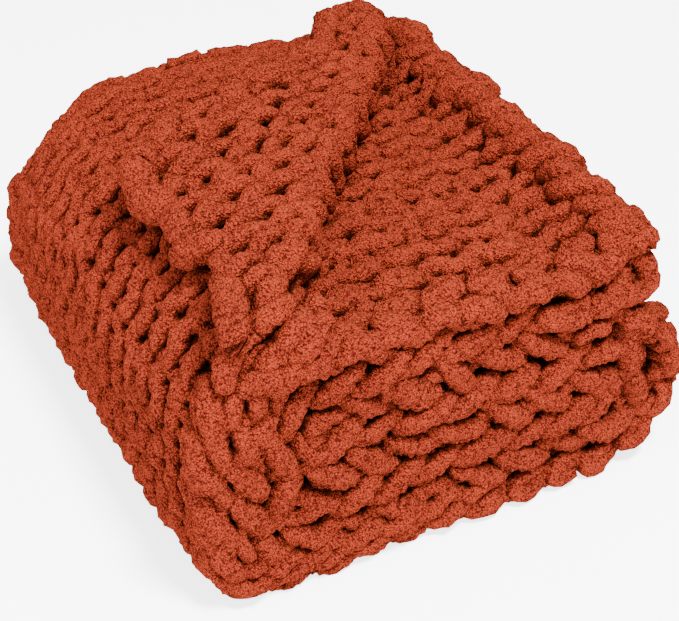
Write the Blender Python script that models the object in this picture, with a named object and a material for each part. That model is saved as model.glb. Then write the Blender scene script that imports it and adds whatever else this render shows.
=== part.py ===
"""Chunky knit throw folded into a pile, with one corner of the top turned back.

Metres, +Z up. The layers run along X and their cut edges face -Y and +Y.
The origin is on the surface the pile lies on, under the middle of its box.

The cloth is one thick sheet. It is followed from its hidden free end through
nine layers that turn at the right and at the left by turns, and last through
the corner that is turned back over the top. Ribs run along every layer.
"""
import bpy
import numpy as np

# Driving dimensions
PILE_WIDTH = 0.440
PILE_DEPTH = 0.500
LAYER_PITCH = 0.0275
LAYER_GAP = 0.0030
RIB_COUNT = 15
RIB_RELIEF = 0.0050
EDGE_THICKNESS = 0.010
SHEET_END_THICKNESS = 0.012

# Layers in the order in which the sheet passes through them, 0 is the lowest
LAYER_ORDER = (3, 2, 6, 7, 1, 4, 5, 0, 8)
INNER_END_X = -0.100

# Where a straight layer has points; the upper loop's two layers have one more
RUN_POINTS_X = (-0.050, 0.020, 0.090)
UPPER_RUN_POINTS_X = (-0.050, 0.020, 0.090, 0.139)
UPPER_LAYERS = (6, 7)
GUIDE_STEPS = 48

HALF_SHEET = (LAYER_PITCH - LAYER_GAP) / 2
REACH = PILE_WIDTH / 2 - HALF_SHEET
PILE_HEIGHT = len(LAYER_ORDER) * LAYER_PITCH

# One row for each turn: side (1 right, -1 left), how many pitches it lies inside
# the outermost, lower and upper corner radius in pitches, and steps round it
TURNS = (
    {"name": "right core", "side": 1, "inside": 2.0, "lower": 0.5, "upper": 0.5, "steps": 4},
    {"name": "left inner", "side": -1, "inside": 2.0, "lower": 0.5, "upper": 1.5, "steps": 6},
    {"name": "right upper", "side": 1, "inside": 0.0, "lower": 0.5, "upper": 0.5, "steps": 6},
    {"name": "left middle", "side": -1, "inside": 1.0, "lower": 1.0, "upper": 2.5, "steps": 6},
    {"name": "right middle", "side": 1, "inside": 1.0, "lower": 1.5, "upper": 1.5, "steps": 6},
    {"name": "left core", "side": -1, "inside": 3.1, "lower": 0.5, "upper": 0.5, "steps": 4},
    {"name": "right outer", "side": 1, "inside": 0.0, "lower": 2.5, "upper": 2.5, "steps": 6},
    {"name": "left outer", "side": -1, "inside": 0.0, "lower": 1.4, "upper": 3.5, "steps": 6},
)

# The corner turned back: across y, the fold line and the corner's free edge
CORNER = (
    {"y": -0.250, "fold": -0.152, "edge": -0.170},
    {"y": -0.210, "fold": -0.122, "edge": -0.150},
    {"y": -0.180, "fold": -0.094, "edge": -0.146},
    {"y": -0.120, "fold": -0.056, "edge": -0.150},
    {"y": -0.060, "fold": -0.008, "edge": -0.154},
    {"y": -0.020, "fold": 0.026, "edge": -0.152},
    {"y": 0.000, "fold": 0.040, "edge": -0.138},
    {"y": 0.030, "fold": 0.062, "edge": -0.074},
    {"y": 0.060, "fold": 0.084, "edge": -0.010},
    {"y": 0.120, "fold": 0.120, "edge": 0.066},
    {"y": 0.150, "fold": 0.130, "edge": 0.082},
    {"y": 0.250, "fold": 0.144, "edge": 0.102},
)
CORNER_FOLD_STEPS = 5
CORNER_STEPS = 5

# How far the upper right loop stops short of the lower ones, across y
UPPER_LOOP = (
    {"y": -0.250, "inset": 0.025},
    {"y": -0.120, "inset": 0.019},
    {"y": 0.250, "inset": 0.016},
)

# Slump of the soft pile: shares of height or depth lost, and lengths in metres
BACK_LEAN = 0.24
FRONT_LEAN = 0.06
BACK_SLUMP = 0.09
BACK_SLUMP_FROM = 0.150
CORNER_SLUMP = 0.13
RECESS_SAG = 0.075
RECESS_CENTRE = (0.085, 0.060)
RECESS_SIZE = (0.085, 0.150)
RIM_LAYER = 6
RIM_LIFT = 0.013
RIM_CENTRE = 0.172
RIM_WIDTH = 0.030
LEFT_TUCK = 0.011
TUCK_WITH_HEIGHT = 0.7

# Waver of the cut edges: depth of it, and its lengths along x and up the pile
EDGE_WAVE = 0.0025
LONG_WAVE = (0.170, 0.110)
SHORT_WAVE = (0.092, -0.180)

# A face turned down by more than this share of upright widens to the ground
GROUND_TURN = 0.3

THROW_COLOUR = (0.400, 0.055, 0.022, 1.0)
THROW_ROUGHNESS = 0.95


def smooth_step(value):
    """Goes from 0 to 1 with level ends while value goes from 0 to 1."""
    value = np.clip(value, 0.0, 1.0)
    return value * value * (3.0 - 2.0 * value)


def table_value(rows, column, y):
    """One column of a table at y, straight between the rows."""
    return float(np.interp(y, [row["y"] for row in rows], [row[column] for row in rows]))


def layer_height(layer):
    """Height of the middle of a layer, counted from the lowest."""
    return (layer + 0.5) * LAYER_PITCH


def turn_points(turn, start, end, inset):
    """A lower and an upper corner arc with an upright between them, as x and z."""
    side = turn["side"]
    outer = side * (REACH - turn["inside"] * LAYER_PITCH - inset)
    angle = np.linspace(0.0, np.pi / 2, turn["steps"] // 2 + 1)
    below = turn["lower"] * LAYER_PITCH
    above = turn["upper"] * LAYER_PITCH
    low = min(layer_height(start), layer_height(end))
    high = max(layer_height(start), layer_height(end))
    lower_x = outer - side * below * (1 - np.sin(angle))
    lower_z = low + below * (1 - np.cos(angle))
    upper_x = outer - side * above * (1 - np.sin(angle[::-1]))
    upper_z = high - above * (1 - np.cos(angle[::-1]))
    skip = 1 if high - low - below - above < LAYER_GAP else 0
    x = np.concatenate([lower_x, upper_x[skip:]])
    z = np.concatenate([lower_z, upper_z[skip:]])
    points = np.stack([x, z], axis=1)
    return points if start < end else points[::-1]


def run_points(layer, side):
    """Points of one straight layer, in the direction in which it is followed."""
    x = np.array(UPPER_RUN_POINTS_X if layer in UPPER_LAYERS else RUN_POINTS_X)
    return np.stack([x[::side], np.full(len(x), layer_height(layer))], axis=1)


def pile_path(y):
    """Middle line of the sheet at one y, from its free end to the last turn's end."""
    inset = table_value(UPPER_LOOP, "inset", y)
    pieces = [np.array([[INNER_END_X, layer_height(LAYER_ORDER[0])]])]
    for index, turn in enumerate(TURNS):
        own_inset = inset if turn["name"] == "right upper" else 0.0
        points = turn_points(turn, LAYER_ORDER[index], LAYER_ORDER[index + 1], own_inset)
        pieces.append(run_points(LAYER_ORDER[index], turn["side"]))
        pieces.append(points)
    return np.concatenate(pieces)


def top_guide():
    """Line of the top layer: up round the outer left turn and level to the right.

    Returns the line finely drawn, and the distances along it of the points
    that the layers below it have.
    """
    turn = TURNS[-1]
    radius = turn["upper"] * LAYER_PITCH
    height = layer_height(LAYER_ORDER[-1])
    angle = np.linspace(0.0, np.pi / 2, GUIDE_STEPS + 1)
    x = -REACH + radius * (1 - np.cos(angle))
    z = height - radius * (1 - np.sin(angle))
    guide = np.append(np.stack([x, z], axis=1), [[REACH, height]], axis=0)
    arc = np.linspace(0.0, radius * np.pi / 2, turn["steps"] // 2 + 1)
    run = arc[-1] + np.array(RUN_POINTS_X) + REACH - radius
    return guide, np.concatenate([arc, run, [np.inf]])


def corner_path(y):
    """Top layer, its fold and the corner lying back on it, at one y.

    The corner follows the top layer's own line one pitch outside it, so it
    bends over the pile's rounded edge. Points that the fold has reached are
    spaced evenly up to it.
    """
    guide, shared = top_guide()
    steps = np.linalg.norm(np.diff(guide, axis=0), axis=1)
    length = np.concatenate([[0.0], np.cumsum(steps)])
    fold = np.interp(table_value(CORNER, "fold", y), guide[:, 0], length)
    edge = np.interp(table_value(CORNER, "edge", y), guide[:, 0], length)
    half = LAYER_PITCH / 2
    turn_start = fold - half

    def on_guide(at):
        x = np.interp(at, length, guide[:, 0])
        return np.stack([x, np.interp(at, length, guide[:, 1])], axis=1)

    def directions(at):
        along = on_guide(at + LAYER_GAP) - on_guide(at - LAYER_GAP)
        along /= np.linalg.norm(along, axis=1, keepdims=True)
        return along, np.stack([-along[:, 1], along[:, 0]], axis=1)

    top = on_guide(np.minimum(shared, np.linspace(0.0, turn_start, len(shared))))
    at_turn = np.array([turn_start])
    along, out = directions(at_turn)
    angle = np.linspace(0.0, np.pi, CORNER_FOLD_STEPS + 1)[1:-1, None]
    turned = on_guide(at_turn) + half * (out * (1 - np.cos(angle)) + along * np.sin(angle))
    back = np.linspace(turn_start, min(edge, turn_start - half), CORNER_STEPS + 1)
    lying = on_guide(back) + LAYER_PITCH * directions(back)[1]
    return np.concatenate([top, turned, lying])


def section_path(y):
    """Whole middle line of the sheet at one y."""
    upper_arc = TURNS[-1]["steps"] // 2 + 1
    return np.concatenate([pile_path(y)[:-upper_arc], corner_path(y)])


def path_normals(path):
    """Unit normals on the left of the line, from its neighbours' directions."""
    along = np.gradient(path, axis=0)
    along /= np.linalg.norm(along, axis=1, keepdims=True)
    return np.stack([-along[:, 1], along[:, 0]], axis=1)


def edge_wave(x, z, lengths):
    """Wave that runs along x and climbs the pile."""
    return np.sin(2 * np.pi * (x / lengths[0] + z / lengths[1]))


def slump(points):
    """Lets the stacked pile sag as soft cloth does, and keeps its base level.

    The back and front edges lean in with height, the back is lower, the bare
    part of the top sinks in the middle and its rim stands up.
    """
    x, y, z = points.T.copy()
    level = z / PILE_HEIGHT
    outward = y / (PILE_DEPTH / 2)
    left = smooth_step(-x / (PILE_WIDTH / 2))

    sink = BACK_SLUMP * smooth_step((y - BACK_SLUMP_FROM) / (PILE_DEPTH / 2 - BACK_SLUMP_FROM))
    sink += CORNER_SLUMP * left ** 3 * smooth_step(outward)
    off_x = (x - RECESS_CENTRE[0]) / RECESS_SIZE[0]
    off_y = (y - RECESS_CENTRE[1]) / RECESS_SIZE[1]
    sink += RECESS_SAG * np.exp(-off_x ** 2 - off_y ** 2)
    over_loop = smooth_step((z - layer_height(RIM_LAYER)) / LAYER_PITCH)
    at_rim = np.exp(-((x - RIM_CENTRE) / RIM_WIDTH) ** 2)
    moved_z = z * (1 - sink) + RIM_LIFT * over_loop * at_rim

    lean = np.where(y > 0, BACK_LEAN, FRONT_LEAN) * level * np.abs(outward)
    wave = edge_wave(x, z, LONG_WAVE) + edge_wave(x, z, SHORT_WAVE)
    moved_y = y - lean * y + EDGE_WAVE * wave * outward ** 3 * level ** 0.5

    bulge = (1 - TUCK_WITH_HEIGHT * smooth_step(level)) * (1 - outward ** 4)
    moved_x = x + LEFT_TUCK * left * (1 - bulge)
    return np.stack([moved_x, moved_y, moved_z], axis=1)


def rib_stations():
    """Y and half thickness of each section: a crest and a valley for each rib."""
    y = np.linspace(-PILE_DEPTH / 2, PILE_DEPTH / 2, 2 * RIB_COUNT + 1)
    half = np.where(np.arange(len(y)) % 2 == 1, HALF_SHEET, HALF_SHEET - RIB_RELIEF)
    half[[0, -1]] = EDGE_THICKNESS / 2
    return y, half


def section_sides(y, half):
    """Both faces of the sheet at one y. The lowest layer's left face is level.

    The lowest layer is followed from right to left, so its left is below it.
    """
    path = section_path(y)
    normal = path_normals(path)
    thickness = np.full(len(path), half)
    thickness[[0, -1]] = np.minimum(half, SHEET_END_THICKNESS / 2)
    turned_down = np.clip((-normal[:, 1] - GROUND_TURN) / (1 - GROUND_TURN), 0.0, 1.0)
    on_ground = np.where(path[:, 1] < layer_height(1), turned_down, 0.0)
    below = thickness * (1 - on_ground) + LAYER_PITCH / 2 * on_ground
    left = path + normal * below[:, None]
    right = path - normal * thickness[:, None]
    return left, right


def make_throw(name):
    """Lofts the sheet through its sections and closes its four edges."""
    left_side = []
    right_side = []
    for y, half in zip(*rib_stations()):
        left, right = section_sides(y, half)
        across = np.full((len(left), 1), y)
        left_side.append(np.hstack([left[:, :1], across, left[:, 1:]]))
        right_side.append(np.hstack([right[:, :1], across, right[:, 1:]]))
    ring = np.concatenate([np.array(left_side), np.array(right_side)[:, ::-1]], axis=1)
    rows, columns = ring.shape[:2]
    vertices = slump(ring.reshape(-1, 3))
    vertices[:, 0] -= (vertices[:, 0].min() + vertices[:, 0].max()) / 2
    vertices[:, 2] = np.maximum(vertices[:, 2], 0.0)

    index = np.arange(rows * columns).reshape(rows, columns)
    ahead = np.roll(index, -1, axis=1)
    walls = np.stack([index[:-1], ahead[:-1], ahead[1:], index[1:]], axis=-1).reshape(-1, 4)
    near = np.arange(columns // 2 - 1)
    far = columns - 1 - near
    front = np.stack([index[0, near], index[0, far], index[0, far - 1], index[0, near + 1]], axis=-1)
    rear = np.stack([index[-1, near], index[-1, near + 1], index[-1, far - 1], index[-1, far]], axis=-1)

    mesh = bpy.data.meshes.new(name)
    mesh.from_pydata(vertices.tolist(), [], np.concatenate([walls, front, rear]).tolist())
    mesh.update()
    mesh.shade_smooth()
    return mesh


def knit_material():
    """Rust red brushed yarn, matt."""
    material = bpy.data.materials.new("rust yarn")
    material.use_nodes = True
    shader = material.node_tree.nodes["Principled BSDF"]
    shader.inputs["Base Color"].default_value = THROW_COLOUR
    shader.inputs["Roughness"].default_value = THROW_ROUGHNESS
    shader.inputs["Metallic"].default_value = 0.0
    return material


def build():
    for old in list(bpy.data.objects):
        bpy.data.objects.remove(old, do_unlink=True)
    collection = bpy.data.collections.new("knit blanket")
    bpy.context.scene.collection.children.link(collection)
    throw = bpy.data.objects.new("blanket", make_throw("blanket"))
    throw.data.materials.append(knit_material())
    collection.objects.link(throw)


build()
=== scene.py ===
"""Chunky knit throw folded into a pile: its knitting, its finish and the studio.

Metres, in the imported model's frame: +X along the layers, +Y to the back, +Z up.
A place on the cloth is its distance along the folded line, its y, and how far
it stands off the middle of the sheet. The pile is laid out square first and
then slumps, as the solid does.
"""

import bpy
import numpy as np
from mathutils import Matrix, Vector


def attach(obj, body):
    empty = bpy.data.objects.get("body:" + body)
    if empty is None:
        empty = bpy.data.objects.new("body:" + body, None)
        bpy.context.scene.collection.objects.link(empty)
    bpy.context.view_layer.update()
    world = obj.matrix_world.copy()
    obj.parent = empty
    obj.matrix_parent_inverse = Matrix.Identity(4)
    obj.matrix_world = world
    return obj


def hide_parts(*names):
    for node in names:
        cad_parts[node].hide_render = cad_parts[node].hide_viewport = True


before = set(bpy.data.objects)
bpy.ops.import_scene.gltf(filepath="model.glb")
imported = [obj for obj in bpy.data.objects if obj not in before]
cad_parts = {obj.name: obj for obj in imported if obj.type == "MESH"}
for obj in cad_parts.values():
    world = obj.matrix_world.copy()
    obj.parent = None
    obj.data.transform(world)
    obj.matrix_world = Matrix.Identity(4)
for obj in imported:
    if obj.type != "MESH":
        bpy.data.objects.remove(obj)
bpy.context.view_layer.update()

# The pile, as the solid has it
PILE_WIDTH = 0.440
PILE_DEPTH = 0.500
LAYER_PITCH = 0.0275
LAYER_GAP = 0.0030
LAYER_ORDER = (3, 2, 6, 7, 1, 4, 5, 0, 8)
INNER_END_X = -0.100
REACH = PILE_WIDTH / 2 - (LAYER_PITCH - LAYER_GAP) / 2
PILE_HEIGHT = len(LAYER_ORDER) * LAYER_PITCH
TURNS = (
    {"name": "right core", "side": 1, "inside": 2.0, "lower": 0.5, "upper": 0.5},
    {"name": "left inner", "side": -1, "inside": 2.0, "lower": 0.5, "upper": 1.5},
    {"name": "right upper", "side": 1, "inside": 0.0, "lower": 0.5, "upper": 0.5},
    {"name": "left middle", "side": -1, "inside": 1.0, "lower": 1.0, "upper": 2.5},
    {"name": "right middle", "side": 1, "inside": 1.0, "lower": 1.5, "upper": 1.5},
    {"name": "left core", "side": -1, "inside": 3.1, "lower": 0.5, "upper": 0.5},
    {"name": "right outer", "side": 1, "inside": 0.0, "lower": 2.5, "upper": 2.5},
    {"name": "left outer", "side": -1, "inside": 0.0, "lower": 1.4, "upper": 3.5},
)
TURN_NAMES = [turn["name"] for turn in TURNS]
UPPER_LOOP_TURN = TURN_NAMES.index("right upper")
OUTER_TURNS = (TURN_NAMES.index("right outer"), TURN_NAMES.index("left outer"))
LAST_TURN = len(TURNS) - 1
CORNER = (
    {"y": -0.250, "fold": -0.152, "edge": -0.170},
    {"y": -0.210, "fold": -0.122, "edge": -0.150},
    {"y": -0.180, "fold": -0.094, "edge": -0.146},
    {"y": -0.120, "fold": -0.056, "edge": -0.150},
    {"y": -0.060, "fold": -0.008, "edge": -0.154},
    {"y": -0.020, "fold": 0.026, "edge": -0.152},
    {"y": 0.000, "fold": 0.040, "edge": -0.138},
    {"y": 0.030, "fold": 0.062, "edge": -0.074},
    {"y": 0.060, "fold": 0.084, "edge": -0.010},
    {"y": 0.120, "fold": 0.120, "edge": 0.066},
    {"y": 0.150, "fold": 0.130, "edge": 0.082},
    {"y": 0.250, "fold": 0.144, "edge": 0.102},
)
UPPER_LOOP = (
    {"y": -0.250, "inset": 0.025},
    {"y": -0.120, "inset": 0.019},
    {"y": 0.250, "inset": 0.016},
)

# Slump of the soft pile, as the solid has it
BACK_LEAN = 0.24
FRONT_LEAN = 0.06
BACK_SLUMP = 0.09
BACK_SLUMP_FROM = 0.150
CORNER_SLUMP = 0.13
RECESS_SAG = 0.075
RECESS_CENTRE = (0.085, 0.060)
RECESS_SIZE = (0.085, 0.150)
RIM_LAYER = 6
RIM_LIFT = 0.013
RIM_CENTRE = 0.172
RIM_WIDTH = 0.030
LEFT_TUCK = 0.011
TUCK_WITH_HEIGHT = 0.7
EDGE_WAVE = 0.0025
LONG_WAVE = (0.170, 0.110)
SHORT_WAVE = (0.092, -0.180)

# How finely the folded line is drawn
LINE_STEP = 0.002
ARC_STEPS = 24

# The yarn and how uneven it is
YARN_RADIUS = 0.0092
YARN_LIFT = 0.0010
TUFT = 0.15
END_TAPER = 0.55
END_LENGTH = 0.35
POINTS_BETWEEN_KNOTS = 9
SEED = 11

# Stitches and rows
ROWS = 18
ROW_PITCH = PILE_DEPTH / ROWS
ROW_Y = -PILE_DEPTH / 2 + ROW_PITCH * (np.arange(ROWS) + 0.5)
ROW_LIMIT = 0.250
STITCH_WIDTH = 0.0370
SHORTEST_ROW = 0.75
LOOP_REACH = 0.0182
LOOP_BULGE = 0.0064
LOOP_DEPTH = 0.0044
ROW_DRIFT = {"size": 0.0025, "along": 0.23, "over": 0.15}
WALE_DRIFT = {"size": 0.0030, "along": 0.17, "over": 0.11}
SIDEWAYS_SPREAD = 0.0018
ONWARD_SPREAD = 0.0032
THICK_SPREAD = 0.09

# Rows over the outermost turns
OUTER_FROM_X = 0.110
OUTER_ROWS_FROM = 0.36
OUTER_YARNS_FROM = 0.34
OUTER_UNDER_CORNER = 0.030
NEAR_ROWS = 8

# Rows of the upper loop, and the dip behind its crown
UPPER_FROM_X = 0.080
UPPER_PAST_END = 0.080
UPPER_UNDER_FOLD = 0.030
UPPER_RADIUS = 0.0098
UPPER_DEPTH = 0.0036
UPPER_ROUGH = 1.6
RIM_DIP = 0.0050
RIM_DIP_AT = 0.080
RIM_DIP_WIDTH = 0.020

# Nearly straight yarns at the edges: y, how far off the sheet, radius
LONG_STEP = 0.0028
LONG_SHIFT = 2.0
LONG_SWAY = 0.0030
LONG_SPREAD_Y = 0.0015
LONG_SPREAD_OFF = 0.0010
LONG_THICKER = 0.10
LONG_SWELL = 0.15
LONG_SWELL_OVER = 0.13
NEAR_EDGE = (
    (-0.2480, -0.0165, 0.0085),
    (-0.2460, -0.0040, 0.0090),
    (-0.2385, 0.0040, 0.0090),
    (-0.2270, 0.0040, 0.0088),
)
FAR_EDGE = tuple((-y, off, radius) for y, off, radius in NEAR_EDGE)
LOWEST_EDGE = ((0.2415, -0.0035, 0.0098), (0.2400, 0.0075, 0.0090))
LOWEST_EDGE_PAST = 0.010

# The chain of crossed legs along a cut edge, and how unlike the legs are
CHAIN_PITCH = 0.0400
CHAIN_RADIUS = 0.0108
CHAIN_LENGTH = 0.0540
CHAIN_SPREAD = 0.0100
CHAIN_RISE = 0.0075
CHAIN_DEEP = 0.0070
CHAIN_OUT = 0.2390
CHAIN_SIZE = 1.03
CHAIN_UNLIKE = 0.10
CHAIN_FROM_LAYER = 0.25
CHAIN_STARTS_PAST = 0.030
FRONT_CHAIN_END_X = -0.165
BACK_CHAIN_END_X = 0.130
LEG_ALONG = 0.0020
LEG_SIDEWAYS = 0.0010
LEG_OUT = 0.0012
LEG_THIN = 0.82
LEG_SWELL = 0.24

# Thick stitches: on the crown of the upper loop, on the turned corner's edge
# and fold, and down the near left edge
RIM_ROPE = {"from": -0.226, "to": 0.238, "pitch": 0.0285, "at": 0.040, "lift": 0.0080,
            "lean": 1.1, "size": 1.10, "unlike": 0.12, "length": 0.62}
SELVEDGE_ROPE = {"column": "edge", "from": 0.028, "shift": 0.0, "lift": 0.005,
                 "leans": (0.75, -0.25), "size": 1.14, "length": 0.95}
FOLD_ROPE = {"column": "fold", "from": 0.034, "shift": -0.25 * LAYER_PITCH, "lift": 0.0,
             "leans": (0.5, 0.1), "size": 1.04, "length": 0.76}
CORNER_ROPE_UNLIKE = 0.14
CORNER_ROPE_SHORT = 0.055
CORNER_ROPE_TILT = 0.3
CORNER_ROPE_Y = 0.246
CORNER_ROPE_SAMPLES = 400
NEAR_ROPE = {"stitches": 4, "y": -0.2400, "short": 0.030, "inset": 0.012, "off": 0.003,
             "lean": 0.60, "size": 0.92, "unlike": 0.16, "length": 0.90, "tilt": -0.5}
NEAR_ROPE_RAISED = 0.65 * LAYER_PITCH
NEAR_ROPE_RAISED_OVER = 0.07
STITCH_LIMIT_Y = 0.245

# Rows of the turned corner, which run aslant
CORNER_RADIUS = 0.0091
CORNER_DEPTH = 0.0068
CORNER_WALE = 20.0
CORNER_COURSE = 104.0
CORNER_ORIGIN = (0.032, 0.0)
CORNER_ACROSS = 0.30
CORNER_ALONG = 0.40
CORNER_SAMPLE = 0.001
CORNER_SHORTEST = 30
CORNER_ROUND_FOLD = 0.024
CORNER_END_Y = 0.236
CORNER_MARGIN = 0.002
CORNER_WIDER = {"by": 0.007, "from": -0.12, "over": 0.08}

# Painted shade: a dark sheet inside the knitting, where there is only shade
SHADE_SHEET_HALF = 0.0015
SHADE_SHEET_END_Y = 0.236
SHADE_SHEET_STATIONS = 25
SHADE_SHEET_STEPS = 420
SHADE_SHEET_TOP_STEPS = 61
SHADE_SHEET_ROUND_STEPS = 11
SHADE_SHEET_CORNER_STEPS = 30
SHADE_SHEET_EDGE_INSET = 0.006
SHADE_SHEET_EDGE_LEAST = 0.004

# How closed in a point of the yarn is, which the finish paints as shade
CELL = 0.0040
CELL_MARGIN = 8
CLOSED_AT = (0.006, 0.011, 0.016)

# Rust red chenille
CLUMP_SCALE = 240.0
TUFT_SCALE = 620.0
TUFT_HEIGHT = 0.0065
CLUMP_SHARE = 0.45
BEND_SCALE = 500.0
BEND = 0.0018
# Painted shade between tufts: weights of clumps and tufts in the tone, its mean, and how strong it
# is on crests and in painted shade
TUFT_SHADING_CLUMPS = 0.38
TUFT_SHADING_TUFTS = 0.86
TUFT_SHADING_MIDDLE = 0.87
TUFT_SHADING_ON_CREST = 0.68
TUFT_SHADING_IN_SHADE = 2.2
TONE = 0.58
PATCH_SCALE = 26.0
PATCH_SHARE = 0.20
# Painted shade: yarn that is closed in is darkened towards DEEP_SHADE, by this gain from this
# start, at most this much
SHADE_GAIN = 1.75
SHADE_FROM = -0.14
SHADE_MOST = 0.97
# Colours picked by the tone: the dark end is mostly painted shade between tufts and the bright end
# lighter tuft tops, with darker and lighter random patches of the yarn
DARK_YARN_AND_TUFT_SHADE = (0.48, (0.062, 0.0050, 0.0032, 1.0))
MIDDLE_YARN = (0.70, (0.169, 0.0196, 0.0094, 1.0))
BRIGHT_YARN_AND_TUFT_LIGHT = (0.92, (0.241, 0.0272, 0.0110, 1.0))
# Near black colour of the painted shade deep in the knit
DEEP_SHADE = (0.009, 0.0006, 0.0003, 1.0)
SHEEN_TINT = (1.0, 0.30, 0.12, 1.0)

# Studio and camera
FLOOR_COLOUR = (0.92, 0.92, 0.93, 1.0)
FLOOR_GLOW = 3.0
FLOOR_HALF = 4.0
FLOOR_Z = -0.0005
WHITE = (1.0, 1.0, 1.0, 1.0)
ROOM_LIGHT = 1.5
LAMPS = (
    {"name": "key", "place": (0.20, -1.05, 2.4), "watts": 290.0, "size": 0.5},
    {"name": "side", "place": (-1.7, -0.4, 1.2), "watts": 42.0, "size": 0.7},
)
CAMERA_AZIMUTH = -27.42
CAMERA_ELEVATION = 37.70
CAMERA_DISTANCE = 1.2440
CAMERA_TARGET = (-0.0138, -0.0800, 0.1112)
CAMERA_SENSOR = 36.0
CAMERA_LENS = 1470.4 * CAMERA_SENSOR / 679.0


# The pile's shape

def smooth_step(value):
    """Goes from 0 to 1 with level ends while value goes from 0 to 1."""
    value = np.clip(value, 0.0, 1.0)
    return value * value * (3.0 - 2.0 * value)


def table_value(rows, column, y):
    """One column of a table at y, straight between the rows."""
    return np.interp(y, [row["y"] for row in rows], [row[column] for row in rows])


def layer_height(layer):
    """Height of the middle of a layer, counted from the lowest."""
    return (layer + 0.5) * LAYER_PITCH


def turn_points(turn, start, end, inset):
    """A lower and an upper quarter arc with an upright between them, as x and z.

    An arc of radius r is outer - side * r * (1 - sin a), level +- r * (1 - cos a).
    """
    side = turn["side"]
    outer = side * (REACH - turn["inside"] * LAYER_PITCH - inset)
    angle = np.linspace(0.0, np.pi / 2, ARC_STEPS + 1)
    below = turn["lower"] * LAYER_PITCH
    above = turn["upper"] * LAYER_PITCH
    low = min(layer_height(start), layer_height(end))
    high = max(layer_height(start), layer_height(end))
    lower = [outer - side * below * (1 - np.sin(angle)), low + below * (1 - np.cos(angle))]
    upper = [outer - side * above * (1 - np.sin(angle)), high - above * (1 - np.cos(angle))]
    points = np.concatenate([np.stack(lower, axis=1), np.stack(upper, axis=1)[::-1]])
    return points if start < end else points[::-1]


def even_line(points):
    """The same line with points a step apart, and its unit normals on its left."""
    gaps = np.linalg.norm(np.diff(points, axis=0), axis=1)
    points = points[np.concatenate([[True], gaps > LINE_STEP * 1e-3])]
    gaps = np.linalg.norm(np.diff(points, axis=0), axis=1)
    reached = np.concatenate([[0.0], np.cumsum(gaps)])
    length = np.linspace(0.0, reached[-1], int(reached[-1] / LINE_STEP) + 1)
    x = np.interp(length, reached, points[:, 0])
    z = np.interp(length, reached, points[:, 1])
    along = np.gradient(np.stack([x, z], axis=1), axis=0)
    along /= np.linalg.norm(along, axis=1, keepdims=True)
    return {"length": length, "x": x, "z": z, "normal_x": -along[:, 1], "normal_z": along[:, 0]}


def folded_line(first, last, start_x, end_x, inset=0.0):
    """Line through the turns from first to last, level to start_x and end_x."""
    pieces = [np.array([[start_x, layer_height(LAYER_ORDER[first])]])]
    for index in range(first, last + 1):
        own_inset = inset if index == UPPER_LOOP_TURN else 0.0
        start, end = LAYER_ORDER[index], LAYER_ORDER[index + 1]
        pieces.append(turn_points(TURNS[index], start, end, own_inset))
    pieces.append(np.array([[end_x, layer_height(LAYER_ORDER[last + 1])]]))
    return even_line(np.concatenate(pieces))


def on_line(line, along, off):
    """Place and normal, as x and z, at a distance along a line and off it."""
    x, z, normal_x, normal_z = (
        np.interp(along, line["length"], line[key]) for key in ("x", "z", "normal_x", "normal_z")
    )
    size = np.hypot(normal_x, normal_z)
    normal_x, normal_z = normal_x / size, normal_z / size
    return x + off * normal_x, z + off * normal_z, normal_x, normal_z


def edge_wave(x, z, lengths):
    """Wave that runs along x and climbs the pile."""
    return np.sin(2 * np.pi * (x / lengths[0] + z / lengths[1]))


def slump(points):
    """Lets the stacked pile sag as soft cloth does, and keeps its base level.

    z shrinks by the sag of the back, of the far left corner and of the recess,
    and rises on the rim. y leans in with height and waves at the cut edges. x
    is tucked in on the left, least at the middle of the base.
    """
    x, y, z = np.moveaxis(points, -1, 0)
    z = np.maximum(z, 0.0)
    level = z / PILE_HEIGHT
    outward = y / (PILE_DEPTH / 2)
    left = smooth_step(-x / (PILE_WIDTH / 2))

    sink = BACK_SLUMP * smooth_step((y - BACK_SLUMP_FROM) / (PILE_DEPTH / 2 - BACK_SLUMP_FROM))
    sink = sink + CORNER_SLUMP * left ** 3 * smooth_step(outward)
    off_x = (x - RECESS_CENTRE[0]) / RECESS_SIZE[0]
    off_y = (y - RECESS_CENTRE[1]) / RECESS_SIZE[1]
    sink = sink + RECESS_SAG * np.exp(-off_x ** 2 - off_y ** 2)
    over_loop = smooth_step((z - layer_height(RIM_LAYER)) / LAYER_PITCH)
    at_rim = np.exp(-((x - RIM_CENTRE) / RIM_WIDTH) ** 2)
    moved_z = z * (1 - sink) + RIM_LIFT * over_loop * at_rim

    lean = np.where(y > 0, BACK_LEAN, FRONT_LEAN) * level * np.abs(outward)
    wave = edge_wave(x, z, LONG_WAVE) + edge_wave(x, z, SHORT_WAVE)
    moved_y = y - lean * y + EDGE_WAVE * wave * outward ** 3 * level ** 0.5

    bulge = (1 - TUCK_WITH_HEIGHT * smooth_step(level)) * (1 - outward ** 4)
    moved_x = x + LEFT_TUCK * left * (1 - bulge)
    return np.stack([moved_x, moved_y, moved_z], axis=-1)


# Where a point of the knitting lies, before the slump

TOP_LINE = folded_line(LAST_TURN, LAST_TURN, 0.0, REACH)
TOP_ARC = TURNS[-1]["upper"] * LAYER_PITCH
TOP_START = float(TOP_LINE["length"][-1] - (REACH + REACH - TOP_ARC))


def top_reach(x):
    """Distance along the top layer's line at which it has come to x."""
    past = np.searchsorted(TOP_LINE["length"], TOP_START - TOP_ARC * np.pi / 2)
    return np.interp(x, TOP_LINE["x"][past:], TOP_LINE["length"][past:])


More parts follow.
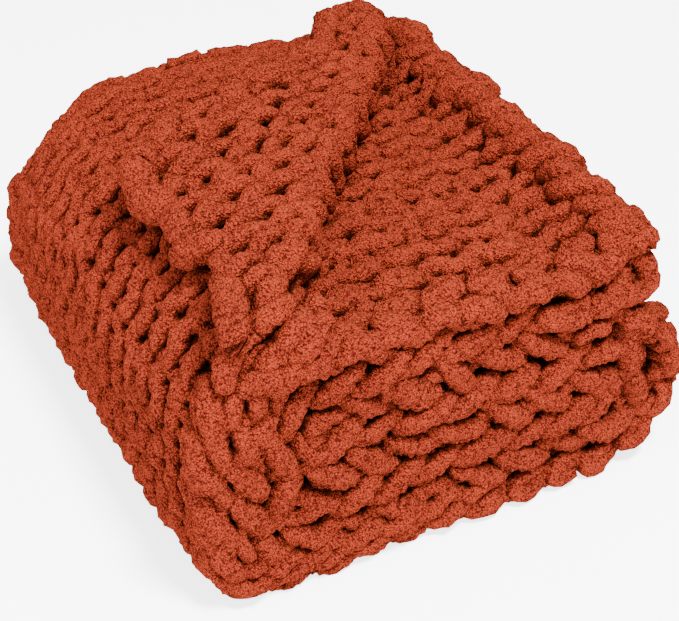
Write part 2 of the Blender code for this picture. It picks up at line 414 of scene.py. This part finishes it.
def place_on(lines, along, y, off):
    """Points and normals on a set of lines, each for one y, straight between them."""
    if len(lines) == 1:
        x, z, normal_x, normal_z = on_line(lines[0][1], along, off)
    else:
        stations = np.array([line[0] for line in lines])
        places = np.array([on_line(line[1], along, off) for line in lines])
        at = np.interp(y, stations, np.arange(len(stations)))
        low = np.minimum(at.astype(int), len(stations) - 2)
        share = at - low
        below = np.take_along_axis(places, low[None, None], axis=0)[0]
        above = np.take_along_axis(places, low[None, None] + 1, axis=0)[0]
        x, z, normal_x, normal_z = below * (1 - share) + above * share
    normal = np.stack([normal_x, np.zeros_like(x), normal_z], axis=-1)
    return np.stack([x, y, z], axis=-1), normal


def place_on_corner(x, y, off):
    """Points and normals on the corner that lies turned back over the top.

    Left of the fold the corner follows the top layer's line one pitch outside
    it. Past the fold it goes round a half turn of half a pitch.
    """
    half = LAYER_PITCH / 2
    turn_start = table_value(CORNER, "fold", y) - half
    past = np.clip((x - turn_start) / half, 0.0, np.pi)
    reach = top_reach(np.minimum(x, turn_start))
    foot_x, foot_z, out_x, out_z = on_line(TOP_LINE, reach, 0.0)
    along_x, along_z = out_z, -out_x
    turned_x = out_x * np.cos(past) + along_x * np.sin(past)
    turned_z = out_z * np.cos(past) + along_z * np.sin(past)
    place_x = foot_x + half * out_x + (half + off) * turned_x
    place_z = foot_z + half * out_z + (half + off) * turned_z
    normal = np.stack([turned_x, np.zeros_like(place_x), turned_z], axis=-1)
    return np.stack([place_x, y, place_z], axis=-1), normal


# Yarn

def wobble(shape, spread, seed):
    """Smooth unevenness along the last axis: random knots, straight between."""
    random = np.random.default_rng(SEED + seed)
    knots = max(2, shape[-1] // POINTS_BETWEEN_KNOTS)
    values = random.normal(0.0, spread, (shape[0], knots + 1))
    at = np.linspace(0, knots, shape[-1])
    return np.array([np.interp(at, np.arange(knots + 1), row) for row in values])


def tube_faces(steps, sides):
    """Four-cornered faces of one tube and the fans that close its two ends."""
    index = np.arange(steps * sides).reshape(steps, sides)
    beyond = np.roll(index, -1, axis=1)
    walls = np.stack([index[:-1], beyond[:-1], beyond[1:], index[1:]], axis=-1).reshape(-1, 4)
    first_tip = np.full(sides, steps * sides)
    first = np.stack([first_tip, beyond[0], index[0], index[0]], axis=-1)
    last = np.stack([first_tip + 1, index[-1], beyond[-1], beyond[-1]], axis=-1)
    return np.concatenate([walls, first, last])


def yarn_rings(strands, sides):
    """Yarn laid along lines: a ring round each point, and closed round ends.

    Each strand has centres, normals and radii, all with one line to a row. A
    ring's point is centre + radius * (cos a * across + sin a * beside), with
    across the normal made square to the line. Tufts change each radius a
    little. Gives points, the way each one faces, faces and centres.
    """
    random = np.random.default_rng(SEED)
    angle = 2 * np.pi * np.arange(sides) / sides
    turn_across, turn_beside = np.cos(angle)[:, None], np.sin(angle)[:, None]
    closed = np.array([0, -1])
    vertices, facing, faces, middles = [], [], [], []
    count = 0
    for centres, normals, radii in strands:
        centres = slump(centres)
        tangent = np.gradient(centres, axis=1)
        tangent /= np.linalg.norm(tangent, axis=-1, keepdims=True)
        across = normals - tangent * (normals * tangent).sum(-1, keepdims=True)
        across /= np.linalg.norm(across, axis=-1, keepdims=True)
        beside = np.cross(tangent, across)
        lines, steps = radii.shape
        tuft = 1 + random.uniform(-TUFT, TUFT, (lines, steps, sides))
        spoke = (radii[..., None] * tuft)[..., None]
        turned = turn_across * across[:, :, None] + turn_beside * beside[:, :, None]
        ring = centres[:, :, None] + spoke * turned
        ends = centres[:, closed, None]
        ring[:, closed] = ends + END_TAPER * (ring[:, closed] - ends)
        ahead = tangent[:, closed] * np.array([-1, 1])[:, None]
        tips = centres[:, closed] + END_LENGTH * ahead * radii[:, closed, None]
        points = np.concatenate([ring.reshape(lines, -1, 3), tips], axis=1)
        vertices.append(points.reshape(-1, 3))
        outward = np.concatenate([turned.reshape(lines, -1, 3), ahead], axis=1)
        facing.append(outward.reshape(-1, 3))
        middles.append(centres.reshape(-1, 3))
        size = steps * sides + 2
        start = count + size * np.arange(lines)[:, None, None]
        faces.append((tube_faces(steps, sides)[None] + start).reshape(-1, 4))
        count += lines * size
    vertices = np.concatenate(vertices)
    vertices[:, 2] = np.maximum(vertices[:, 2], 0.0)
    return vertices, np.concatenate(facing), np.concatenate(faces), np.concatenate(middles)


def filled_room(points):
    """How full the room round the yarn is: its corner and a grid of shares.

    A cell that holds a point counts 1. Each cell is then the mean of its
    neighbours along each axis, itself counted twice.
    """
    corner = points.min(axis=0) - CELL_MARGIN * CELL
    cells = ((points - corner) / CELL).astype(int)
    room = np.zeros(cells.max(axis=0) + CELL_MARGIN + 1)
    room[cells[:, 0], cells[:, 1], cells[:, 2]] = 1.0
    for axis in range(3):
        room = (np.roll(room, 1, axis) + 2 * room + np.roll(room, -1, axis)) / 4
    return corner, room


# Its share is a rough ambient occlusion, which the yarn's finish paints on as shade.
def closed_in(vertices, facing, filled):
    """Mean fullness of the room at some distances out from each point."""
    corner, room = filled
    share = np.zeros(len(vertices))
    for distance in CLOSED_AT:
        cells = ((vertices + distance * facing - corner) / CELL).astype(int)
        cells = np.clip(cells, 0, np.array(room.shape) - 1)
        share += room[cells[:, 0], cells[:, 1], cells[:, 2]] / len(CLOSED_AT)
    return share


def make_piece(name, vertices, faces, material, occlusion_shade):
    """A smooth mesh object. A face whose last two corners are one is a triangle."""
    rows = [tuple(row) if row[2] != row[3] else tuple(row[:3]) for row in faces.tolist()]
    mesh = bpy.data.meshes.new(name)
    mesh.from_pydata(vertices.tolist(), [], rows)
    # How closed in each point is, which the finish paints as shade
    shares = mesh.attributes.new("occlusion_shade", "FLOAT", "POINT")
    shares.data.foreach_set("value", occlusion_shade.astype(np.float32))
    mesh.update()
    mesh.shade_smooth()
    piece = bpy.data.objects.new(name, mesh)
    bpy.context.scene.collection.objects.link(piece)
    mesh.materials.append(material)
    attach(piece, "root")
    return piece


# Rows of loops

def loop_shape(stitches, steps):
    """One row of loops: along, across and depth.

    along = width * t / 2 pi + bulge * sin 2t, across = reach * cos t,
    depth = cos 2t, so heads and feet lie on one face and legs on the other.
    """
    t = np.linspace(0.0, 2 * np.pi * stitches, int(stitches * steps) + 1)
    along = STITCH_WIDTH * t / (2 * np.pi) + LOOP_BULGE * np.sin(2 * t)
    return along, LOOP_REACH * np.cos(t), np.cos(2 * t)


def drift(wave, along, over):
    """Slow wave over the cloth: size * sin 2 pi (along / length + over / length)."""
    return wave["size"] * np.sin(2 * np.pi * (along / wave["along"] + over / wave["over"]))


def knitted_rows(
    lines, starts, ends, row_y, steps, face, seed,
    radius=YARN_RADIUS, rise=LOOP_DEPTH, rough=1.0, dip_at=None,
):
    """Rows of loops on a set of lines, one strand for each row.

    A row goes from its start to its end and drifts slowly. With dip_at, its
    yarn is let in there by a bell of the rim's dip.
    """
    strands = []
    for index, (start, end, y) in enumerate(zip(starts, ends, row_y)):
        stitches = (end - start) / STITCH_WIDTH
        if stitches < SHORTEST_ROW:
            continue
        along, across, depth = loop_shape(stitches, steps)
        shape = (1, len(along))
        sideways = rough * wobble(shape, SIDEWAYS_SPREAD, seed + 3 * index)
        onward = rough * wobble(shape, ONWARD_SPREAD, seed + 3 * index + 1)
        thick = 1 + rough * wobble(shape, THICK_SPREAD, seed + 3 * index + 2)
        reach = start + along[None] + onward
        at_y = y + across[None] + sideways + drift(ROW_DRIFT, reach, -y)
        reach = reach + drift(WALE_DRIFT, reach, y)
        out = face * (YARN_LIFT + rise * depth[None])
        if dip_at is not None:
            out = out + RIM_DIP * np.exp(-((reach - dip_at) / RIM_DIP_WIDTH) ** 2)
        at_y = np.clip(at_y, -ROW_LIMIT, ROW_LIMIT)
        centres, normals = place_on(lines, reach, at_y, out)
        strands.append((centres, normals * face, radius * thick))
    return strands


def long_yarns(lines, start, end, courses, seed, swell=0.0):
    """Yarns that run nearly straight along an edge, one for each course.

    A course is its y, how far it stands off and its radius. Along the yarn, y
    goes with sin and the distance off with cos once a stitch, and so does the
    radius. Towards its end it swells.
    """
    strands = []
    for index, (y, off, radius) in enumerate(courses):
        along = np.arange(start, end, LONG_STEP)[None]
        own = seed + 3 * index
        phase = 2 * np.pi * along / STITCH_WIDTH + index * LONG_SHIFT
        at_y = y + LONG_SWAY * np.sin(phase) + wobble(along.shape, LONG_SPREAD_Y, own)
        out = off + LONG_SWAY * np.cos(phase) + wobble(along.shape, LONG_SPREAD_OFF, own + 1)
        centres, normals = place_on(lines, along, at_y, out)
        normals = normals + np.array([0.0, np.sign(y), 0.0])
        thick = 1 + LONG_THICKER * np.sin(phase) + wobble(along.shape, THICK_SPREAD, own + 2)
        near_end = smooth_step((along - end + LONG_SWELL_OVER) / LONG_SWELL_OVER)
        strands.append((centres, normals, radius * thick * (1 + swell * near_end)))
    return strands


# Stitches seen one by one, on the edges

def crossed_legs(reach, lean, steps, seed, size, legs, unlike, length):
    """The legs of every stitch on an edge, as places along, sideways and out.

    u goes from 0 to 1: along = at + length * (u - 1/2), sideways = lean *
    spread * sin (pi (u - 1/2)), out = rise * (sin (pi u) - 1/2). A second leg
    leans the other way and lies deeper. Size thickens them, length stretches
    them, and unlike says how much they differ from each other.
    """
    random = np.random.default_rng(SEED + seed)
    count = len(reach)
    u = np.linspace(0.0, 1.0, steps)

    def uneven(by):
        return random.normal(0.0, by, (count, legs, 1))

    second = np.arange(legs)[None, :, None]
    leans = lean[:, None, None] * (1 - 2 * second) * (1 + uneven(3 * unlike))
    along = reach[:, None, None] + uneven(LEG_ALONG)
    along = along + length * CHAIN_LENGTH * (1 + uneven(unlike)) * (u - 0.5)
    along = along + second * CHAIN_PITCH / 2
    sideways = leans * (CHAIN_SPREAD + uneven(LEG_SIDEWAYS)) * np.sin(np.pi * (u - 0.5))
    sideways = sideways + uneven(LEG_SIDEWAYS)
    out = CHAIN_RISE * (np.sin(np.pi * u) - 0.5) - CHAIN_DEEP * second + uneven(LEG_OUT)
    swell = LEG_THIN + LEG_SWELL * np.sin(np.pi * u)
    radius = size * CHAIN_RADIUS * (1 + uneven(unlike)) * swell
    return [
        np.broadcast_to(values, along.shape).reshape(legs * count, steps)
        for values in (along, sideways, out, radius)
    ]


def cut_edge(side_row, end_x):
    """The folded line at a cut edge, as far as the top layer has come to end_x."""
    line = folded_line(0, LAST_TURN, INNER_END_X - CHAIN_STARTS_PAST, REACH, side_row["inset"])
    end = line["length"][-1] - TOP_LINE["length"][-1] + top_reach(end_x)
    return {key: value[line["length"] < end] for key, value in line.items()}


def edge_chain(line, rear, steps, seed):
    """Stitches along one cut edge of the folded sheet.

    Neighbouring layers lean opposite ways, so that two of them make Vs. The
    lowest layer has long yarns instead, and so has the outermost left turn.
    """
    reach = np.arange(CHAIN_PITCH / 2, line["length"][-1], CHAIN_PITCH)
    layer = np.interp(reach, line["length"], line["z"]) / LAYER_PITCH - 0.5
    low = line["length"][line["z"] < LAYER_PITCH]
    on_top = layer > len(LAYER_ORDER) - 1 - CHAIN_FROM_LAYER
    kept = (layer > CHAIN_FROM_LAYER) & ((reach < low[0]) | on_top)
    reach, layer = reach[kept], layer[kept]
    lean = np.where(np.round(layer) % 2 == 0, 1.0, -1.0)
    along, sideways, out, radii = crossed_legs(
        reach, lean, steps, seed, CHAIN_SIZE, 2, CHAIN_UNLIKE, 1.0
    )
    along = np.clip(along, 0.0, line["length"][-1])
    x, z, normal_x, normal_z = on_line(line, along, sideways)
    y = rear * (CHAIN_OUT + out)
    normals = np.zeros(x.shape + (3,))
    normals[..., 1] = rear
    legs = (np.stack([x, y, z], axis=-1), normals, radii)
    courses = [(rear * y, off, radius) for y, off, radius in LOWEST_EDGE]
    start, end = low[0] - LOWEST_EDGE_PAST, low[-1] + LOWEST_EDGE_PAST
    return [legs] + long_yarns([(0.0, line)], start, end, courses, seed + 50)


def rim_rope(lines, crown, steps, seed):
    """Thick stitches in a row across the pile, on the crown of the upper loop."""
    rope = RIM_ROPE
    across = np.arange(rope["from"], rope["to"], rope["pitch"])
    lean = np.full(len(across), rope["lean"])
    y, sideways, out, radii = crossed_legs(
        across, lean, steps, seed, rope["size"], 1, rope["unlike"], rope["length"]
    )
    y = np.clip(y, -STITCH_LIMIT_Y, STITCH_LIMIT_Y)
    centres, normals = place_on(lines, crown + rope["at"] + sideways, y, -(rope["lift"] + out))
    return [(centres, -normals, radii)]


def lattice_point(p, q):
    """Plan place of the turned corner's knitting, from its two stitch directions."""
    wale, course = np.radians(CORNER_WALE), np.radians(CORNER_COURSE)
    x = CORNER_ORIGIN[0] + p * np.cos(wale) + q * np.cos(course)
    y = CORNER_ORIGIN[1] + p * np.sin(wale) + q * np.sin(course)
    return x, y


def corner_rows(steps, seed):
    """Rows of loops on the turned corner, from round the fold to its free edge."""
    strands = []
    for index, p in enumerate(np.arange(-CORNER_ACROSS, CORNER_ACROSS, ROW_PITCH)):
        q = np.arange(-CORNER_ALONG, CORNER_ALONG, CORNER_SAMPLE)
        x, y = lattice_point(np.full_like(q, p), q)
        wider = smooth_step((y - CORNER_WIDER["from"]) / CORNER_WIDER["over"])
        left = table_value(CORNER, "edge", y) + (CORNER_MARGIN + CORNER_WIDER["by"] * wider)
        right = table_value(CORNER, "fold", y) + CORNER_ROUND_FOLD
        inside = (x < right) & (x > left) & (y > -CORNER_END_Y) & (y < CORNER_END_Y)
        if inside.sum() < CORNER_SHORTEST:
            continue
        start, end = q[inside][0], q[inside][-1]
        along, across, depth = loop_shape((end - start) / STITCH_WIDTH, steps)
        shape = (1, len(along))
        on_q = start + along[None] + wobble(shape, ONWARD_SPREAD, seed + 3 * index)
        on_p = p + across[None] + wobble(shape, SIDEWAYS_SPREAD, seed + 3 * index + 1)
        x, y = lattice_point(on_p, on_q)
        y = np.clip(y, -STITCH_LIMIT_Y, STITCH_LIMIT_Y)
        centres, normals = place_on_corner(x, y, YARN_LIFT - CORNER_DEPTH * depth[None])
        radii = CORNER_RADIUS * (1 + wobble(shape, THICK_SPREAD, seed + 3 * index + 2))
        strands.append((centres, normals, radii))
    return strands


def corner_rope(rope, steps, seed):
    """Thick stitches along the free edge or the fold of the turned corner.

    The line is the table's column moved along x by the shift, and the
    stitches' sideways reach is laid square to it in plan.
    """
    y = np.linspace(-CORNER_ROPE_Y, CORNER_ROPE_Y, CORNER_ROPE_SAMPLES)
    x = table_value(CORNER, rope["column"], y) + rope["shift"]
    gaps = np.hypot(np.diff(x), np.diff(y))
    reached = np.concatenate([[0.0], np.cumsum(gaps)])
    reach = np.arange(rope["from"], reached[-1] - CORNER_ROPE_SHORT, CHAIN_PITCH)
    lean = np.where(np.arange(len(reach)) % 2 == 0, *rope["leans"])
    along, sideways, out, radii = crossed_legs(
        reach, lean, steps, seed, rope["size"], 1, CORNER_ROPE_UNLIKE, rope["length"]
    )
    along = np.clip(along, 0.0, reached[-1])
    line_x, line_y = np.interp(along, reached, x), np.interp(along, reached, y)
    heading_x = np.interp(along, reached, np.gradient(x, reached))
    heading_y = np.interp(along, reached, np.gradient(y, reached))
    heading = np.hypot(heading_x, heading_y)
    outward_x, outward_y = -heading_y / heading, heading_x / heading
    at_x, at_y = line_x + sideways * outward_x, line_y + sideways * outward_y
    centres, normals = place_on_corner(at_x, at_y, rope["lift"] + out)
    outward = np.stack([outward_x, outward_y, np.zeros_like(outward_x)], axis=-1)
    return [(centres, normals + CORNER_ROPE_TILT * outward, radii)]


def descending_rope(lines, end, steps, seed):
    """Thick stitches from the corner's near end down the near left edge.

    At the top they lie on the turned corner and below on the outermost turn.
    """
    rope = NEAR_ROPE
    count = rope["stitches"]
    reach = end - rope["inset"] - CHAIN_PITCH * np.arange(count)
    along, sideways, out, radii = crossed_legs(
        reach, np.full(count, rope["lean"]), steps, seed,
        rope["size"], 1, rope["unlike"], rope["length"],
    )
    near_end = smooth_step((along - end + NEAR_ROPE_RAISED_OVER) / NEAR_ROPE_RAISED_OVER)
    off = rope["off"] + NEAR_ROPE_RAISED * near_end + out
    centres, normals = place_on(lines, along, rope["y"] + sideways, off)
    return [(centres, normals + np.array([0.0, rope["tilt"], 0.0]), radii)]


# The throw's pieces

def dark_shade_sheet(material):
    """Painted shade: a thin closed near black sheet along the whole fold, inside the knitting.

    Its faces lie half a thickness off the folded line on both sides, for each y
    of a row of stations, and strips close its four edges.
    """
    left, right = [], []
    for y in np.linspace(-SHADE_SHEET_END_Y, SHADE_SHEET_END_Y, SHADE_SHEET_STATIONS):
        inset = float(table_value(UPPER_LOOP, "inset", y))
        line = folded_line(0, LAST_TURN, INNER_END_X, REACH, inset)
        lead = line["length"][-1] - TOP_LINE["length"][-1]
        turn = table_value(CORNER, "fold", y) - LAYER_PITCH / 2
        on_top = lead + np.linspace(0.0, float(top_reach(turn)), SHADE_SHEET_TOP_STEPS)[1:]
        along = np.concatenate([np.linspace(0.0, lead, SHADE_SHEET_STEPS), on_top])
        flat, normal = place_on([(0.0, line)], along, np.full_like(along, y), 0.0)
        round_fold = np.linspace(np.pi, 0.0, SHADE_SHEET_ROUND_STEPS)[:-1]
        edge = float(table_value(CORNER, "edge", y)) + SHADE_SHEET_EDGE_INSET
        lying = np.linspace(turn, min(edge, turn - SHADE_SHEET_EDGE_LEAST), SHADE_SHEET_CORNER_STEPS)
        corner_x = np.concatenate([turn + LAYER_PITCH / 2 * round_fold, lying[1:]])
        centres, normals = place_on_corner(corner_x, np.full_like(corner_x, y), 0.0)
        flat = np.concatenate([flat, centres])
        normal = np.concatenate([normal, -normals])
        left.append(flat + SHADE_SHEET_HALF * normal)
        right.append(flat - SHADE_SHEET_HALF * normal)
    ring = np.concatenate([np.array(left), np.array(right)[:, ::-1]], axis=1)
    rows, columns = ring.shape[:2]
    vertices = slump(ring.reshape(-1, 3))
    index = np.arange(rows * columns).reshape(rows, columns)
    ahead = np.roll(index, -1, axis=1)
    walls = np.stack([index[:-1], ahead[:-1], ahead[1:], index[1:]], axis=-1).reshape(-1, 4)
    near = np.arange(columns // 2 - 1)
    far = columns - 1 - near
    front = [index[0, near], index[0, far], index[0, far - 1], index[0, near + 1]]
    rear = [index[-1, near], index[-1, near + 1], index[-1, far - 1], index[-1, far]]
    faces = np.concatenate([walls, np.stack(front, axis=-1), np.stack(rear, axis=-1)])
    # Counted fully closed in, so the finish paints it near black as shade
    return make_piece("painted_shade_sheet", vertices, faces, material, np.ones(len(vertices)))


def outer_knit():
    """Rows over the outermost turns: the near and the far rows, and those below."""
    outer = [(0.0, folded_line(*OUTER_TURNS, OUTER_FROM_X, REACH))]
    length = outer[0][1]["length"][-1]
    covered = table_value(CORNER, "edge", ROW_Y) + OUTER_UNDER_CORNER
    ends = length - (TOP_LINE["length"][-1] - top_reach(covered))
    starts = np.full(ROWS, OUTER_ROWS_FROM)
    inner = slice(1, -1)
    rows = knitted_rows(
        outer, starts[inner], ends[inner], ROW_Y[inner], steps=36, face=1.0, seed=100
    )
    near_end = ends[0] + NEAR_ROPE["short"]
    near = long_yarns(outer, OUTER_YARNS_FROM, near_end, NEAR_EDGE, seed=150, swell=LONG_SWELL)
    near += descending_rope(outer, ends[0] - NEAR_ROPE["short"], steps=20, seed=160)
    far = long_yarns(outer, OUTER_YARNS_FROM, ends[-1], FAR_EDGE, seed=170)
    below = knitted_rows(outer, np.zeros(ROWS), starts, ROW_Y, steps=18, face=1.0, seed=200)
    return rows[:NEAR_ROWS] + near, rows[NEAR_ROWS:] + far, below


def upper_knit():
    """Rows of the recess and round the upper loop, and the stitches on its crown."""
    end_x = INNER_END_X - UPPER_PAST_END
    lines = [
        (row["y"], folded_line(UPPER_LOOP_TURN, UPPER_LOOP_TURN, UPPER_FROM_X, end_x, row["inset"]))
        for row in UPPER_LOOP
    ]
    covered = table_value(CORNER, "fold", ROW_Y) - UPPER_UNDER_FOLD
    ends = lines[0][1]["length"][-1] - (covered - end_x)
    crown = REACH - UPPER_FROM_X - UPPER_LOOP[1]["inset"]
    rows = knitted_rows(
        lines, np.zeros(ROWS), ends, ROW_Y, steps=34, face=-1.0, seed=300,
        radius=UPPER_RADIUS, rise=UPPER_DEPTH, rough=UPPER_ROUGH, dip_at=crown + RIM_DIP_AT,
    )
    return rows, rim_rope(lines, crown, steps=20, seed=800)


def main():
    """Lays all yarns, finds how closed in they are, which sets their painted shade, and makes the
    pieces.

    Each piece's number is how many sides its yarn has.
    """
    yarn = yarn_finish()
    near, far, below = outer_knit()
    recess, rim = upper_knit()
    front = cut_edge(UPPER_LOOP[0], FRONT_CHAIN_END_X)
    back = cut_edge(UPPER_LOOP[-1], BACK_CHAIN_END_X)
    laid = {
        "outer_knit_near": (near, 16),
        "outer_knit_far": (far, 14),
        "outer_knit_below": (below, 9),
        "upper_loop_knit": (recess, 14),
        "rim_rope": (rim, 16),
        "turned_corner_knit": (corner_rows(steps=40, seed=400), 16),
        "turned_corner_selvedge": (corner_rope(SELVEDGE_ROPE, steps=26, seed=500), 16),
        "turned_corner_fold": (corner_rope(FOLD_ROPE, steps=24, seed=520), 16),
        "front_edge_chain": (edge_chain(front, rear=-1.0, steps=26, seed=600), 15),
        "back_edge_chain": (edge_chain(back, rear=1.0, steps=16, seed=700), 10),
    }
    rings = {name: yarn_rings(strands, sides) for name, (strands, sides) in laid.items()}
    skins = [ring[0] for ring in rings.values()]
    middles = [ring[3] for ring in rings.values()]
    # How closed in each point of the yarn is, which the finish paints as shade
    filled = filled_room(np.concatenate(skins + middles))
    knitting = [
        make_piece(name, vertices, faces, yarn, closed_in(vertices, facing, filled))
        for name, (vertices, facing, faces, _) in rings.items()
    ]

    # A near black sheet inside the knitting: painted shade
    core = dark_shade_sheet(yarn)
    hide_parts("blanket")


# Finish

def yarn_finish():
    """Rust red chenille: crumbly tufts, with painted shade between them and deep in the knit.

    Height = clumps and tufts, each 1 - distance squared to the nearest cell
    point. Tone = patches + painted tuft shading, dark between tufts and lighter on
    their tops, quiet on crests and strong where the yarn is closed in. The tone
    picks the colour, and closed in yarn is painted dark as shade.
    """
    material = bpy.data.materials.new("rust yarn")
    material.use_nodes = True
    nodes = material.node_tree.nodes
    links = material.node_tree.links
    shader = nodes["Principled BSDF"]
    place = nodes.new("ShaderNodeTexCoord").outputs["Object"]

    def maths(operation, first, second=None, third=None, clamp=False):
        node = nodes.new("ShaderNodeMath")
        node.operation = operation
        node.use_clamp = clamp
        for socket, value in zip(node.inputs, (first, second, third)):
            if isinstance(value, float):
                socket.default_value = value
            elif value is not None:
                links.new(value, socket)
        return node.outputs["Value"]

    def cells(scale):
        node = nodes.new("ShaderNodeTexVoronoi")
        node.inputs["Scale"].default_value = scale
        links.new(bend.outputs["Vector"], node.inputs["Vector"])
        return maths("SUBTRACT", 1.0, maths("POWER", node.outputs["Distance"], 2.0))

    def clouds(scale, detail):
        node = nodes.new("ShaderNodeTexNoise")
        node.inputs["Scale"].default_value = scale
        node.inputs["Detail"].default_value = detail
        links.new(place, node.inputs["Vector"])
        return node.outputs

    bend = nodes.new("ShaderNodeVectorMath")
    bend.operation = "MULTIPLY_ADD"
    links.new(clouds(BEND_SCALE, 1.0)["Color"], bend.inputs[0])
    bend.inputs[1].default_value = (BEND, BEND, BEND)
    links.new(place, bend.inputs[2])

    clumps = cells(CLUMP_SCALE)
    tufts = cells(TUFT_SCALE)
    rest = maths("MULTIPLY", tufts, 1.0 - CLUMP_SHARE)
    height = maths("MULTIPLY_ADD", clumps, CLUMP_SHARE, rest)
    bump = nodes.new("ShaderNodeBump")
    bump.inputs["Strength"].default_value = 1.0
    bump.inputs["Distance"].default_value = TUFT_HEIGHT
    links.new(height, bump.inputs["Height"])
    links.new(bump.outputs["Normal"], shader.inputs["Normal"])

    # Painted shade: the closed in share darkens the yarn and strengthens the painted shade between
    # tufts
    occlusion_shade = nodes.new("ShaderNodeAttribute")
    occlusion_shade.attribute_name = "occlusion_shade"
    shade_amount = maths("MULTIPLY_ADD", occlusion_shade.outputs["Fac"], SHADE_GAIN, SHADE_FROM, clamp=True)
    # Painted shade between tufts: the tone dips in the gaps between cells and rises on their tops,
    # more strongly where the yarn is closed in
    tuft_shading = maths("MULTIPLY_ADD", clumps, TUFT_SHADING_CLUMPS, maths("MULTIPLY", tufts, TUFT_SHADING_TUFTS))
    tuft_shading_strength = maths("MULTIPLY_ADD", shade_amount, TUFT_SHADING_IN_SHADE, TUFT_SHADING_ON_CREST)
    tuft_shaded_tone = maths("MULTIPLY_ADD", maths("SUBTRACT", tuft_shading, TUFT_SHADING_MIDDLE), tuft_shading_strength, TONE)
    tone = maths("MULTIPLY_ADD", clouds(PATCH_SCALE, 2.0)["Fac"], PATCH_SHARE, tuft_shaded_tone)

    ramp = nodes.new("ShaderNodeValToRGB")
    stops = ramp.color_ramp.elements
    stops[0].position, stops[0].color = DARK_YARN_AND_TUFT_SHADE
    stops[1].position, stops[1].color = BRIGHT_YARN_AND_TUFT_LIGHT
    stops.new(MIDDLE_YARN[0]).color = MIDDLE_YARN[1]
    links.new(tone, ramp.inputs["Fac"])
    # Painted shade: closed in yarn is mixed towards DEEP_SHADE
    shade = nodes.new("ShaderNodeMix")
    shade.data_type = "RGBA"
    amount, plain, shaded = shade.inputs[0], shade.inputs[6], shade.inputs[7]
    links.new(maths("MULTIPLY", shade_amount, SHADE_MOST), amount)
    links.new(ramp.outputs["Color"], plain)
    shaded.default_value = DEEP_SHADE
    links.new(shade.outputs[2], shader.inputs["Base Color"])
    shader.inputs["Roughness"].default_value = 0.95
    shader.inputs["Specular IOR Level"].default_value = 0.0
    shader.inputs["Sheen Weight"].default_value = 0.03
    shader.inputs["Sheen Roughness"].default_value = 0.45
    shader.inputs["Sheen Tint"].default_value = SHEEN_TINT
    return material


# Studio

def floor():
    """A square of pale floor just under the throw."""
    material = bpy.data.materials.new("pale floor")
    material.use_nodes = True
    sockets = material.node_tree.nodes["Principled BSDF"].inputs
    sockets["Base Color"].default_value = FLOOR_COLOUR
    sockets["Roughness"].default_value = 0.8
    sockets["Emission Color"].default_value = WHITE
    sockets["Emission Strength"].default_value = FLOOR_GLOW
    mesh = bpy.data.meshes.new("floor")
    corners = [
        (side_x * FLOOR_HALF, side_y * FLOOR_HALF, FLOOR_Z)
        for side_x, side_y in ((-1, -1), (1, -1), (1, 1), (-1, 1))
    ]
    mesh.from_pydata(corners, [], [(0, 1, 2, 3)])
    mesh.materials.append(material)
    piece = bpy.data.objects.new("floor", mesh)
    bpy.context.scene.collection.objects.link(piece)


def studio():
    """Pale floor, soft light and the camera at the photograph's place."""
    floor()
    world = bpy.data.worlds.new("studio")
    bpy.context.scene.world = world
    world.use_nodes = True
    world.node_tree.nodes["Background"].inputs["Color"].default_value = WHITE
    world.node_tree.nodes["Background"].inputs["Strength"].default_value = ROOM_LIGHT

    for lamp in LAMPS:
        light = bpy.data.lights.new(lamp["name"], "AREA")
        light.energy = lamp["watts"]
        light.size = lamp["size"]
        stand = bpy.data.objects.new(lamp["name"], light)
        stand.location = lamp["place"]
        stand.rotation_euler = (-Vector(lamp["place"])).to_track_quat("-Z", "Y").to_euler()
        bpy.context.scene.collection.objects.link(stand)

    azimuth, elevation = np.radians(CAMERA_AZIMUTH), np.radians(CAMERA_ELEVATION)
    level = np.cos(elevation)
    back = Vector((np.sin(azimuth) * level, -np.cos(azimuth) * level, np.sin(elevation)))
    data = bpy.data.cameras.new("camera")
    data.lens = CAMERA_LENS
    data.sensor_width = CAMERA_SENSOR
    camera = bpy.data.objects.new("camera", data)
    stands_at = Matrix.Translation(Vector(CAMERA_TARGET) + back * CAMERA_DISTANCE)
    camera.matrix_world = stands_at @ back.to_track_quat("Z", "Y").to_matrix().to_4x4()
    bpy.context.scene.collection.objects.link(camera)
    bpy.context.scene.camera = camera


studio()
main()
